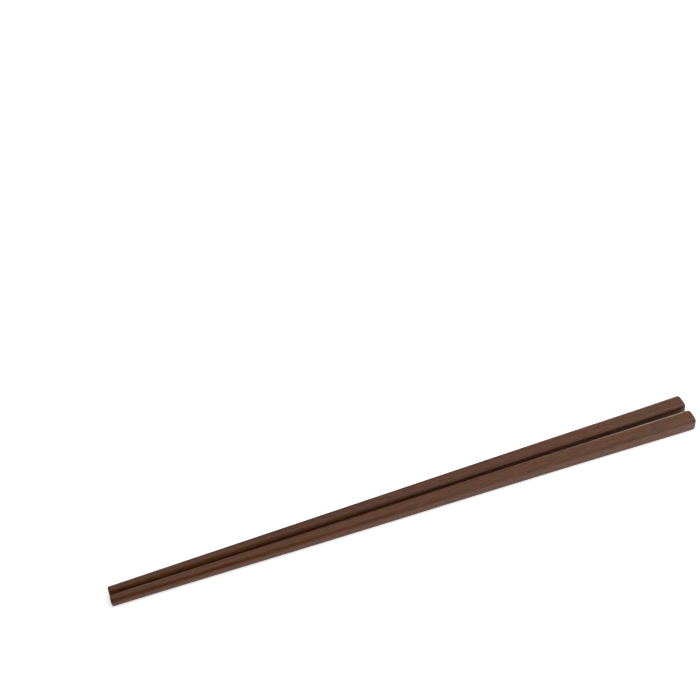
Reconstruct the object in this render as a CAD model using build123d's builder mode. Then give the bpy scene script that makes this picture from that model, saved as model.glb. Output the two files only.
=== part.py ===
"""A pair of plain hardwood chopsticks, lying side by side with the tips together.

Each stick is one piece of solid hardwood: four flat facets taper evenly from the butt to
the tip, and one cutter rounds the long edges between them. The tip is cut square and the
butt is sanded to a low crown. Both sticks lie on their lower facets. The butts point
along +X, +Z is up, and the origin is on the ground in the middle of the pair. All lengths
are in millimetres.
"""
import os
from math import asin, atan, degrees

from build123d import *

# Size of one stick
stick_length = 250.0
butt_side = 6.9
tip_side = 4.15

# Rounding of the four long edges, the same all the way along
edge_radius = 1.5

# Ends: the butt is crowned and its rim softened, and the tip only has its edge broken
butt_crown_radius = 13.0
butt_rim_radius = 0.8
tip_rim_radius = 0.4

# How the two sticks lie: the tips almost touch and the butts stand a little apart
tip_gap = 0.1
butt_gap = 2.1

# No edge is rounded by more than this share of the tip, and no rim of the edge it meets
edge_limit_share = 0.45
rim_limit_share = 0.9

# The crowning cut reaches past the corners, which lie within 0.71 of a side from the axis
crown_reach_share = 0.75

long_edge = min(edge_radius, edge_limit_share * tip_side)
butt_rim = min(butt_rim_radius, rim_limit_share * long_edge)
tip_rim = min(tip_rim_radius, rim_limit_share * long_edge)
crown_reach = crown_reach_share * butt_side
crown_angle = degrees(asin(crown_reach / butt_crown_radius))

# Each facet slopes by this angle, so the axis climbs by it when a facet lies on the ground
facet_slope = degrees(atan((butt_side - tip_side) / 2 / stick_length))
tip_spacing = tip_side + tip_gap
butt_spacing = butt_side + butt_gap
spread = degrees(atan((butt_spacing - tip_spacing) / 2 / stick_length))

# One outline of the taper serves both views: it starts at the tip and is level with the axis
taper_outline = (
    (0, -tip_side / 2),
    (stick_length, -butt_side / 2),
    (stick_length, butt_side / 2),
    (0, tip_side / 2),
)

os.makedirs("parts", exist_ok=True)

for name, side in (("back_chopstick", 1), ("front_chopstick", -1)):
    sideways = Vector(0, 1, 0).rotate(Axis.Z, side * spread)
    along = Vector(1, 0, 0).rotate(Axis.Y, -facet_slope).rotate(Axis.Z, side * spread)
    upright = along.cross(sideways)
    tip_centre = Vector(-stick_length / 2, side * tip_spacing / 2, tip_side / 2)
    butt_centre = tip_centre + along * stick_length

    with BuildPart() as stick:
        # Shaft, planed to the same taper in the upright view and then in the level view
        with BuildSketch(Plane(origin=tip_centre, x_dir=along, z_dir=sideways)):
            Polygon(*taper_outline, align=None)
        extrude(amount=butt_side, both=True)
        with BuildSketch(Plane(origin=tip_centre, x_dir=along, z_dir=upright)):
            Polygon(*taper_outline, align=None)
        extrude(amount=butt_side, both=True, mode=Mode.INTERSECT)

        # Rounded long edges: the four longest edges of the shaft
        fillet(stick.edges().sort_by(SortBy.LENGTH)[-4:], radius=long_edge)

        # Low crown on the butt, turned about the axis of the stick
        with BuildSketch(Plane(origin=butt_centre, x_dir=along, z_dir=sideways)):
            with BuildLine():
                crown = CenterArc((-butt_crown_radius, 0), butt_crown_radius, 0, crown_angle)
                Polyline(crown @ 1, (crown_reach, crown_reach), (crown_reach, 0), crown @ 0)
            make_face()
        revolve(axis=Axis(butt_centre, along), mode=Mode.SUBTRACT)

        # Soft rim round the crown, and a small broken edge round the tip
        ends = stick.faces().sort_by(Axis(tip_centre, along))
        fillet(ends[-1].edges(), radius=butt_rim)
        fillet(ends[0].edges(), radius=tip_rim)

    stick.part.label = name
    export_step(stick.part, f"parts/{name}.step")
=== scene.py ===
"""A pair of ironwood chopsticks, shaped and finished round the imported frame.

Each stick is made as at the bench: a blank is planed to a taper, its four long edges are
rounded, its butt is crowned and its tip is cut square. The wood is a dense red-brown
ironwood under a thin satin lacquer. Blender works in metres, so sizes are millimetres
times MM.
"""

from math import asin, atan, cos, pi, radians, sin, tan

import bmesh
import bpy
from mathutils import Matrix, Vector


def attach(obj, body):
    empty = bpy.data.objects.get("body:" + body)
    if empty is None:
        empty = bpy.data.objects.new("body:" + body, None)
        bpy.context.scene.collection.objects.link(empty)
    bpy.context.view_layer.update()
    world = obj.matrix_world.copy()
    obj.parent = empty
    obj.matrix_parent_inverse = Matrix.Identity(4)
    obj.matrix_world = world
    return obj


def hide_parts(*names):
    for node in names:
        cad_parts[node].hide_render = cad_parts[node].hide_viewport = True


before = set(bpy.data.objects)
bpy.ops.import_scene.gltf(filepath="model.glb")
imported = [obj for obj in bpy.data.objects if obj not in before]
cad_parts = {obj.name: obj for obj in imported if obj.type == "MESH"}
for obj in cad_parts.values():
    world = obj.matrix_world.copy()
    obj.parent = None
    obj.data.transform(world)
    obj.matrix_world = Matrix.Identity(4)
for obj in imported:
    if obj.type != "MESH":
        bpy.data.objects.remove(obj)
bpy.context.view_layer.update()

MM = 0.001

# Size of one stick, as in the frame, with the rims of both ends sanded a touch softer
STICK_LENGTH = 250.0 * MM
BUTT_SIDE = 6.9 * MM
TIP_SIDE = 4.15 * MM
EDGE_RADIUS = 1.5 * MM
BUTT_CROWN_RADIUS = 13.0 * MM
BUTT_RIM_RADIUS = 1.2 * MM
TIP_RIM_RADIUS = 0.6 * MM

# How the sticks lie: the tips almost touch and the butts stand a little apart
TIP_GAP = 0.1 * MM
BUTT_GAP = 2.1 * MM

# Fineness of the mesh: steps round a long edge, cuts along the shaft, rings over the crown,
# steps round a rim, and rings of the ball that the crown is wrapped onto
EDGE_STEPS = 16
SHAFT_CUTS = 80
CROWN_RING_SHARES = (0.62, 0.5, 0.38, 0.26, 0.14)
RIM_STEPS = 8
BALL_RINGS = 128

# A long edge runs along X by more than this share of its length, and so does the normal of an
# end face. On the crown the outer faces lean, so less is asked of them.
ALONG_SHARE = 0.9
CROWN_SHARE = 0.7

# The butt's corners lie within this slack of its end, and the crown moves them no further than
# this reach
END_SLACK = 0.01 * MM
CROWN_REACH = 2.0 * MM

# Edges that turn by more than this stay sharp in the shading
SHARP_ANGLE = radians(40)

# Sanding leaves the facets uneven by this much, in swells this long, and only takes wood off
SANDING_DEPTH = 0.03 * MM
SANDING_SWELL = 14.0 * MM

# Both sticks have dried slightly crooked: at what share of the length, by how much, over what reach
FRONT_CROOKS = ((0.33, -0.12 * MM, 60.0 * MM), (0.72, 0.16 * MM, 70.0 * MM))
BACK_CROOKS = ((0.9, -0.12 * MM, 40.0 * MM),)

FACET_SLOPE = atan((BUTT_SIDE - TIP_SIDE) / 2 / STICK_LENGTH)
SPREAD = atan((BUTT_SIDE + BUTT_GAP - TIP_SIDE - TIP_GAP) / 2 / STICK_LENGTH)


# Small helpers for modelling

def deselect_all():
    bpy.ops.object.select_all(action="DESELECT")


def pick_faces(piece, test):
    """Selects the faces whose normal passes the test, and nothing else."""
    bpy.ops.mesh.select_mode(type="FACE")
    mesh = bmesh.from_edit_mesh(piece.data)
    for face in mesh.faces:
        face.select_set(test(face.normal))
    mesh.select_flush_mode()
    bmesh.update_edit_mesh(piece.data)


def pick_edges(piece, test):
    """Selects the edges that pass the test, and nothing else."""
    bpy.ops.mesh.select_mode(type="EDGE")
    mesh = bmesh.from_edit_mesh(piece.data)
    for face in mesh.faces:
        face.select_set(False)
    for edge in mesh.edges:
        edge.select_set(test(edge))
    mesh.select_flush_mode()
    bmesh.update_edit_mesh(piece.data)


def along_share(edge):
    """How far an edge runs along the stick, as a share of its own length."""
    run = edge.verts[1].co - edge.verts[0].co
    return abs(run.x) / max(run.length, 1e-9)


def apply_modifiers(piece):
    bpy.context.view_layer.objects.active = piece
    for modifier in list(piece.modifiers):
        bpy.ops.object.modifier_apply(modifier=modifier.name)


# Shaping one stick, with its tip at the origin and its axis along +X

def plane_blank(name):
    """A square blank as long as the stick, planed to its taper."""
    deselect_all()
    bpy.ops.mesh.primitive_cube_add(size=1, location=(STICK_LENGTH / 2, 0, 0))
    stick = bpy.context.object
    stick.name = stick.data.name = name
    stick.scale = (STICK_LENGTH, BUTT_SIDE, BUTT_SIDE)
    bpy.ops.object.transform_apply(location=True, rotation=True, scale=True)
    bpy.ops.object.mode_set(mode="EDIT")
    pick_faces(stick, lambda normal: normal.x < -ALONG_SHARE)
    share = TIP_SIDE / BUTT_SIDE
    bpy.ops.transform.resize(value=(1, share, share), center_override=(0, 0, 0))
    return stick


def round_long_edges(stick):
    """One cutter rounds the four long edges, then the shaft is cut into rings."""
    pick_edges(stick, lambda edge: along_share(edge) > ALONG_SHARE)
    bpy.ops.mesh.bevel(offset_type="OFFSET", offset=EDGE_RADIUS, segments=EDGE_STEPS,
                       profile=0.5, affect="EDGES")
    pick_edges(stick, lambda edge: along_share(edge) > ALONG_SHARE)
    bpy.ops.mesh.subdivide(number_cuts=SHAFT_CUTS)


def crown_butt(stick):
    """The butt is laid out in rings, wrapped onto the crown's ball and softened at its rim."""
    pick_faces(stick, lambda normal: normal.x > ALONG_SHARE)
    centre = (STICK_LENGTH, 0, 0)
    last = 1.0
    for share in CROWN_RING_SHARES:
        bpy.ops.mesh.extrude_region_move(TRANSFORM_OT_translate={"value": (0, 0, 0)})
        step = share / last
        bpy.ops.transform.resize(value=(1, step, step), center_override=centre)
        last = share
    bpy.ops.mesh.poke()
    butt = stick.vertex_groups.new(name="butt")
    bpy.ops.object.mode_set(mode="OBJECT")
    end = [v.index for v in stick.data.vertices if v.co.x > STICK_LENGTH - END_SLACK]
    butt.add(end, 1.0, "REPLACE")

    deselect_all()
    bpy.ops.mesh.primitive_uv_sphere_add(segments=2 * BALL_RINGS, ring_count=BALL_RINGS,
                                         radius=BUTT_CROWN_RADIUS,
                                         location=(STICK_LENGTH - BUTT_CROWN_RADIUS, 0, 0))
    ball = bpy.context.object
    wrap = stick.modifiers.new("crown", "SHRINKWRAP")
    wrap.target = ball
    wrap.wrap_method = "PROJECT"
    wrap.use_project_x = True
    wrap.use_project_y = wrap.use_project_z = False
    wrap.use_positive_direction = wrap.use_negative_direction = True
    wrap.project_limit = CROWN_REACH
    wrap.vertex_group = "butt"
    apply_modifiers(stick)
    bpy.data.objects.remove(ball)
    stick.vertex_groups.clear()
    deselect_all()
    stick.select_set(True)
    bpy.context.view_layer.objects.active = stick
    bpy.ops.object.mode_set(mode="EDIT")

    crown_slope = asin(BUTT_SIDE / 2 / BUTT_CROWN_RADIUS)
    setback = BUTT_RIM_RADIUS * tan((pi / 2 - crown_slope) / 2)
    round_rim(stick, lambda normal: normal.x > CROWN_SHARE, setback)


def round_rim(stick, is_end, setback):
    """Softens the rim between an end's faces and the shaft."""
    def on_rim(edge):
        ends = [is_end(face.normal) for face in edge.link_faces]
        return any(ends) and not all(ends)

    pick_edges(stick, on_rim)
    bpy.ops.mesh.bevel(offset_type="OFFSET", offset=setback, segments=RIM_STEPS, profile=0.5,
                       affect="EDGES", clamp_overlap=False)


def bow(stick, crooks):
    """Pulls the shaft off line where it dried crooked, fading out over each reach."""
    for place_share, offset, reach in crooks:
        place = place_share * STICK_LENGTH
        half_ring = STICK_LENGTH / (SHAFT_CUTS + 1) / 2
        pick_edges(stick, lambda edge: all(abs(v.co.x - place) <= half_ring for v in edge.verts))
        bpy.ops.transform.translate(value=(0, offset, 0), use_proportional_edit=True,
                                    proportional_edit_falloff="SMOOTH", proportional_size=reach)


def sand(stick):
    """Hand sanding leaves each facet a touch uneven."""
    swell = bpy.data.textures.new(stick.name + "_sanding", "CLOUDS")
    swell.noise_scale = SANDING_SWELL
    sanding = stick.modifiers.new("sanding", "DISPLACE")
    sanding.texture = swell
    sanding.texture_coords = "GLOBAL"
    sanding.mid_level = 1.0
    sanding.strength = SANDING_DEPTH
    apply_modifiers(stick)
    bpy.data.textures.remove(swell)


def lay_down(stick, side):
    """Tips the stick onto its lower facet, turns it by the spread and puts its tip in place."""
    tip_centre = Vector((-STICK_LENGTH / 2, side * (TIP_SIDE + TIP_GAP) / 2, TIP_SIDE / 2))
    turn = Matrix.Rotation(side * SPREAD, 4, "Z") @ Matrix.Rotation(-FACET_SLOPE, 4, "Y")
    stick.matrix_world = Matrix.Translation(tip_centre) @ turn
    deselect_all()
    stick.select_set(True)
    bpy.context.view_layer.objects.active = stick
    bpy.ops.object.transform_apply(location=True, rotation=True, scale=True)


def make_stick(name, side, crooks):
    """One whole stick: side is 1 for the back stick and -1 for the front one."""
    stick = plane_blank(name)
    round_long_edges(stick)
    crown_butt(stick)
    round_rim(stick, lambda normal: normal.x < -ALONG_SHARE, TIP_RIM_RADIUS)
    bow(stick, crooks)
    bpy.ops.object.mode_set(mode="OBJECT")
    lay_down(stick, side)
    sand(stick)
    bpy.ops.object.shade_smooth_by_angle(angle=SHARP_ANGLE)
    return stick


# Materials

def linear(hex_colour):
    """An sRGB hex colour as linear red, green, blue and alpha."""
    channels = [int(hex_colour[i:i + 2], 16) / 255 for i in (1, 3, 5)]
    return [c / 12.92 if c <= 0.04045 else ((c + 0.055) / 1.055) ** 2.4 for c in channels] + [1.0]


def add_node(tree, kind, links=None, inputs=None, **settings):
    """Adds one node, sets its properties and inputs, and links other nodes' outputs to it."""
    node = tree.nodes.new(kind)
    for key, value in settings.items():
        setattr(node, key, value)
    for key, value in (inputs or {}).items():
        node.inputs[key].default_value = value
    for key, output in (links or {}).items():
        tree.links.new(output, node.inputs[key])
    return node


# A Mix node's colour sockets by number, because its float sockets have the same names
MIX_A, MIX_B, MIX_RESULT = 6, 7, 2

# Blender's band texture repeats after this length at scale 1
BAND_UNIT = pi / 10

# Sizes across the grain of what shows in the wood, in millimetres, and how many times longer
# it is along the grain. Patches and layers are as wide as real ones. Real fibres and pores are
# finer, and are drawn as coarse as they need to show.
FIGURE_ACROSS = 2.8
FIGURE_STRETCH = 2.5
LAYER_PERIOD = 1.3
LAYER_STRETCH = 40.0
FIBRE_ACROSS = 0.28
FIBRE_STRETCH = 28.0
PORE_ACROSS = 0.45
PORE_STRETCH = 9.0
END_PORE_ACROSS = 0.3

# The grain runs off the line of the stick by this angle
GRAIN_TILT = radians(0.5)

# Height of the grain that shows through the lacquer, and the share of the end grain's figure
# that the lacquer hides
GRAIN_DEPTH = 0.03 * MM
END_HIDING = 0.65


def ironwood(name, seed_place, ring_turn, figure, layer_dark, pore_dark, end_shade):
    """Ironwood: a dense, fine, straight-grained red-brown heartwood, planed, sanded and wiped
    with a thin satin lacquer. Growth layers run as dark lines along the stick, soft patches
    of redder and browner wood lie between them, fine pores fleck it, and the film gives a
    soft broad sheen."""
    material = bpy.data.materials.new(name)
    material.use_nodes = True
    tree = material.node_tree
    tree.nodes.clear()

    place = add_node(tree, "ShaderNodeTexCoord")
    in_mm = add_node(tree, "ShaderNodeMapping", {"Vector": place.outputs["Object"]},
                     {"Location": seed_place, "Rotation": (ring_turn, 0, GRAIN_TILT),
                      "Scale": (1 / MM, 1 / MM, 1 / MM)})
    stretched = {}
    for amount in (FIGURE_STRETCH, LAYER_STRETCH, FIBRE_STRETCH, PORE_STRETCH):
        along_grain = add_node(tree, "ShaderNodeMapping", {"Vector": in_mm.outputs["Vector"]},
                               {"Scale": (1 / amount, 1, 1)})
        stretched[amount] = along_grain.outputs["Vector"]

    # Soft patches of colour
    patches = add_node(tree, "ShaderNodeTexNoise", {"Vector": stretched[FIGURE_STRETCH]},
                       {"Scale": 1 / FIGURE_ACROSS, "Detail": 2.0, "Roughness": 0.55})
    patch_colour = add_node(tree, "ShaderNodeValToRGB", {"Fac": patches.outputs["Fac"]})
    stops = patch_colour.color_ramp.elements
    while len(stops) < len(figure):
        stops.new(0.5)
    for stop, (share, colour) in zip(stops, figure):
        stop.position = share
        stop.color = linear(colour)

    # Growth layers, seen edge on as darker lines
    layers = add_node(tree, "ShaderNodeTexWave", {"Vector": stretched[LAYER_STRETCH]},
                      {"Scale": BAND_UNIT / LAYER_PERIOD, "Distortion": 5.0, "Detail": 3.0,
                       "Detail Scale": 1.2, "Detail Roughness": 0.6},
                      wave_type="BANDS", bands_direction="Z", wave_profile="SIN")
    layer_mask = add_node(tree, "ShaderNodeMapRange", {"Value": layers.outputs["Fac"]},
                          {"From Min": 0.55, "From Max": 1.0, "To Min": 0.0, "To Max": 0.3},
                          interpolation_type="SMOOTHSTEP")
    layered = add_node(tree, "ShaderNodeMix",
                       {"Factor": layer_mask.outputs["Result"],
                        MIX_A: patch_colour.outputs["Color"]},
                       {MIX_B: linear(layer_dark)}, data_type="RGBA")

    # Fine fibre, lighter and darker in turn
    fibre = add_node(tree, "ShaderNodeTexNoise", {"Vector": stretched[FIBRE_STRETCH]},
                     {"Scale": 1 / FIBRE_ACROSS, "Detail": 4.0, "Roughness": 0.65})
    fibre_gain = add_node(tree, "ShaderNodeMapRange", {"Value": fibre.outputs["Fac"]},
                          {"From Min": 0.3, "From Max": 0.7, "To Min": 0.85, "To Max": 1.15})
    fibred = add_node(tree, "ShaderNodeVectorMath",
                      {0: layered.outputs[MIX_RESULT], "Scale": fibre_gain.outputs["Result"]},
                      operation="SCALE")

    # Pores, short dark dashes along the grain and dots on the end grain
    dashes = add_node(tree, "ShaderNodeTexVoronoi", {"Vector": stretched[PORE_STRETCH]},
                      {"Scale": 1 / PORE_ACROSS})
    dots = add_node(tree, "ShaderNodeTexVoronoi", {"Vector": in_mm.outputs["Vector"]},
                    {"Scale": 1 / END_PORE_ACROSS})
    facing = add_node(tree, "ShaderNodeSeparateXYZ", {"Vector": place.outputs["Normal"]})
    turned = add_node(tree, "ShaderNodeMath", {0: facing.outputs["X"]}, operation="ABSOLUTE")
    end_mask = add_node(tree, "ShaderNodeMapRange", {"Value": turned.outputs["Value"]},
                        {"From Min": 0.5, "From Max": 0.9}, interpolation_type="SMOOTHSTEP")
    nearest = add_node(tree, "ShaderNodeMix",
                       {"Factor": end_mask.outputs["Result"], "A": dashes.outputs["Distance"],
                        "B": dots.outputs["Distance"]}, data_type="FLOAT")
    pore_mask = add_node(tree, "ShaderNodeMapRange", {"Value": nearest.outputs[0]},
                         {"From Min": 0.28, "From Max": 0.1, "To Min": 0.0, "To Max": 0.6},
                         interpolation_type="SMOOTHSTEP")

    # End grain drinks more lacquer, so it hides part of the figure
    end_share = add_node(tree, "ShaderNodeMath", {0: end_mask.outputs["Result"]},
                         {1: END_HIDING}, operation="MULTIPLY")
    ended = add_node(tree, "ShaderNodeMix",
                     {"Factor": end_share.outputs["Value"], MIX_A: fibred.outputs["Vector"]},
                     {MIX_B: linear(end_shade)}, data_type="RGBA")
    pored = add_node(tree, "ShaderNodeMix",
                     {"Factor": pore_mask.outputs["Result"], MIX_A: ended.outputs[MIX_RESULT]},
                     {MIX_B: linear(pore_dark)}, data_type="RGBA")

    # The lacquer sinks a little into the softer fibre, so the sheen is broken along the grain
    sheen = add_node(tree, "ShaderNodeMapRange", {"Value": fibre.outputs["Fac"]},
                     {"From Min": 0.3, "From Max": 0.7, "To Min": 0.24, "To Max": 0.34})
    height = add_node(tree, "ShaderNodeMath",
                      {0: fibre.outputs["Fac"], 1: pore_mask.outputs["Result"]},
                      operation="SUBTRACT")
    bump = add_node(tree, "ShaderNodeBump", {"Height": height.outputs["Value"]},
                    {"Strength": 0.5, "Distance": GRAIN_DEPTH})
    shader = add_node(tree, "ShaderNodeBsdfPrincipled",
                      {"Base Color": pored.outputs[MIX_RESULT],
                       "Roughness": sheen.outputs["Result"], "Normal": bump.outputs["Normal"]},
                      {"IOR": 1.5, "Specular IOR Level": 0.26})
    add_node(tree, "ShaderNodeOutputMaterial", {"Surface": shader.outputs["BSDF"]})
    return material


def light_table(name, colour, roughness, glow):
    """A plain white acrylic sheet, lit from below so that it stays white round the sticks."""
    material = bpy.data.materials.new(name)
    material.use_nodes = True
    shader = material.node_tree.nodes["Principled BSDF"]
    shader.inputs["Base Color"].default_value = linear(colour)
    shader.inputs["Roughness"].default_value = roughness
    shader.inputs["Emission Color"].default_value = linear(colour)
    shader.inputs["Emission Strength"].default_value = glow
    return material


back_wood = ironwood(
    "lacquered_ironwood_brown", seed_place=(3.0, 11.0, 5.0), ring_turn=radians(25),
    figure=((0.3, "#46241a"), (0.4, "#482b12"), (0.5, "#542917"), (0.6, "#462b0e"), (0.7, "#563014")),
    layer_dark="#2c150a", pore_dark="#200f07", end_shade="#452b17")
front_wood = ironwood(
    "lacquered_ironwood_red", seed_place=(57.0, 2.0, 23.0), ring_turn=radians(-35),
    figure=((0.3, "#4b271b"), (0.4, "#4d2f15"), (0.5, "#5a2c18"), (0.6, "#4b2f10"), (0.7, "#5c3416")),
    layer_dark="#30170b", pore_dark="#221007", end_shade="#492e19")

for name, side, crooks, wood, slot in (
    ("back_ironwood_stick", 1, BACK_CROOKS, back_wood, "back_stick_wood"),
    ("front_ironwood_stick", -1, FRONT_CROOKS, front_wood, "front_stick_wood"),
):
    stick = make_stick(name, side, crooks)
    stick.data.materials.clear()
    stick.data.materials.append(wood)
    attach(stick, "root")
    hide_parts("back_chopstick" if side > 0 else "front_chopstick")


# Studio: a white floor lit from below, a pale tent round the back and sides, and soft lights

FLOOR_SPAN = 30.0
LIGHT_COLOUR = "#fffaf4"

# Each light's name, turn and height in degrees, distance, width and tallness in metres, and watts
SOFTBOXES = (
    ("right_upper_softbox", 90, 42, 0.75, 0.6, 0.45, 4.1),
    ("back_corner", 35, 11, 1.0, 0.4, 0.36, 4.4),
    ("overhead_softbox", 5, 61, 1.0, 1.1, 0.6, 3.2),
    ("top_softbox", 108, 75, 0.9, 0.5, 0.36, 1.15),
    ("back_left_softbox", -8, 24, 1.0, 0.2, 0.3, 0.6),
    ("front_softbox", 153, 34, 0.9, 0.45, 0.3, 2.0),
    ("front_strip", 180, 5, 1.0, 2.0, 0.12, 1.3),
)

# The tent's cloth fades out upwards between these two Z parts of a sight line of length 1, and
# towards the camera between these two Y parts
CLOTH_TOP_SHARES = (0.25, 0.45)
CLOTH_EDGE_SHARES = (-0.75, -0.35)


def soft_light(name, turn, height, distance, width, tall, power):
    """An area light aimed at the pair: turn is clockwise from +Y, height is above the floor."""
    data = bpy.data.lights.new(name, "AREA")
    data.shape = "RECTANGLE"
    data.size = width
    data.size_y = tall
    data.energy = power
    data.color = linear(LIGHT_COLOUR)[:3]
    light = bpy.data.objects.new(name, data)
    bpy.context.scene.collection.objects.link(light)
    level = distance * cos(radians(height))
    light.location = (level * sin(radians(turn)), level * cos(radians(turn)),
                      distance * sin(radians(height)))
    light.rotation_euler = light.location.to_track_quat("Z", "Y").to_euler()


def light_tent(name, colour, glow, open_share):
    """A pale cloth wall round the back and the sides, low and open towards the camera."""
    world = bpy.data.worlds.new(name)
    world.use_nodes = True
    tree = world.node_tree
    direction = add_node(tree, "ShaderNodeTexCoord")
    parts = add_node(tree, "ShaderNodeSeparateXYZ", {"Vector": direction.outputs["Generated"]})
    low = add_node(tree, "ShaderNodeMapRange", {"Value": parts.outputs["Z"]},
                   {"From Min": CLOTH_TOP_SHARES[0], "From Max": CLOTH_TOP_SHARES[1],
                    "To Min": 1.0, "To Max": open_share},
                   interpolation_type="SMOOTHSTEP")
    behind = add_node(tree, "ShaderNodeMapRange", {"Value": parts.outputs["Y"]},
                      {"From Min": CLOTH_EDGE_SHARES[0], "From Max": CLOTH_EDGE_SHARES[1],
                       "To Min": open_share, "To Max": glow},
                      interpolation_type="SMOOTHSTEP")
    cloth = add_node(tree, "ShaderNodeMath",
                     {0: low.outputs["Result"], 1: behind.outputs["Result"]},
                     operation="MULTIPLY")
    background = tree.nodes["Background"]
    background.inputs["Color"].default_value = linear(colour)
    tree.links.new(cloth.outputs["Value"], background.inputs["Strength"])
    return world


deselect_all()
bpy.ops.mesh.primitive_plane_add(size=FLOOR_SPAN, location=(0, 0, 0))
floor = bpy.context.object
floor.name = "floor"
floor.data.materials.append(
    light_table("lit_white_acrylic", colour="#f0f2f3", roughness=0.8, glow=0.66))

for softbox in SOFTBOXES:
    soft_light(*softbox)

bpy.context.scene.world = light_tent("studio", colour="#f4f4f2", glow=0.65, open_share=0.1)

# Camera, at the height and turn that the pair was seen from

FRAME_PIXELS = 700
SENSOR_WIDTH = 36.0
FOCAL_PIXELS = 1300.0
CAMERA_TURN = radians(-14.402)
CAMERA_HEIGHT = radians(45.0)
CAMERA_ROLL = radians(-6.0)
CAMERA_DISTANCE = 594.16 * MM
CAMERA_AIM = Vector((5.376, 93.742, 0.0)) * MM
NEAREST_SIGHT = 10.0 * MM


def make_camera():
    data = bpy.data.cameras.new("camera")
    data.sensor_width = SENSOR_WIDTH
    data.lens = FOCAL_PIXELS / FRAME_PIXELS * SENSOR_WIDTH
    data.clip_start = NEAREST_SIGHT
    camera = bpy.data.objects.new("camera", data)
    bpy.context.scene.collection.objects.link(camera)
    back = Vector((sin(CAMERA_TURN) * cos(CAMERA_HEIGHT), -cos(CAMERA_TURN) * cos(CAMERA_HEIGHT),
                   sin(CAMERA_HEIGHT)))
    level = Vector((cos(CAMERA_TURN), sin(CAMERA_TURN), 0))
    upright = back.cross(level)
    right = level * cos(CAMERA_ROLL) + upright * sin(CAMERA_ROLL)
    up = upright * cos(CAMERA_ROLL) - level * sin(CAMERA_ROLL)
    turn = Matrix((right, up, back)).transposed().to_4x4()
    camera.matrix_world = Matrix.Translation(CAMERA_AIM + back * CAMERA_DISTANCE) @ turn
    bpy.context.scene.camera = camera


make_camera()
bpy.context.scene.view_settings.view_transform = "Standard"
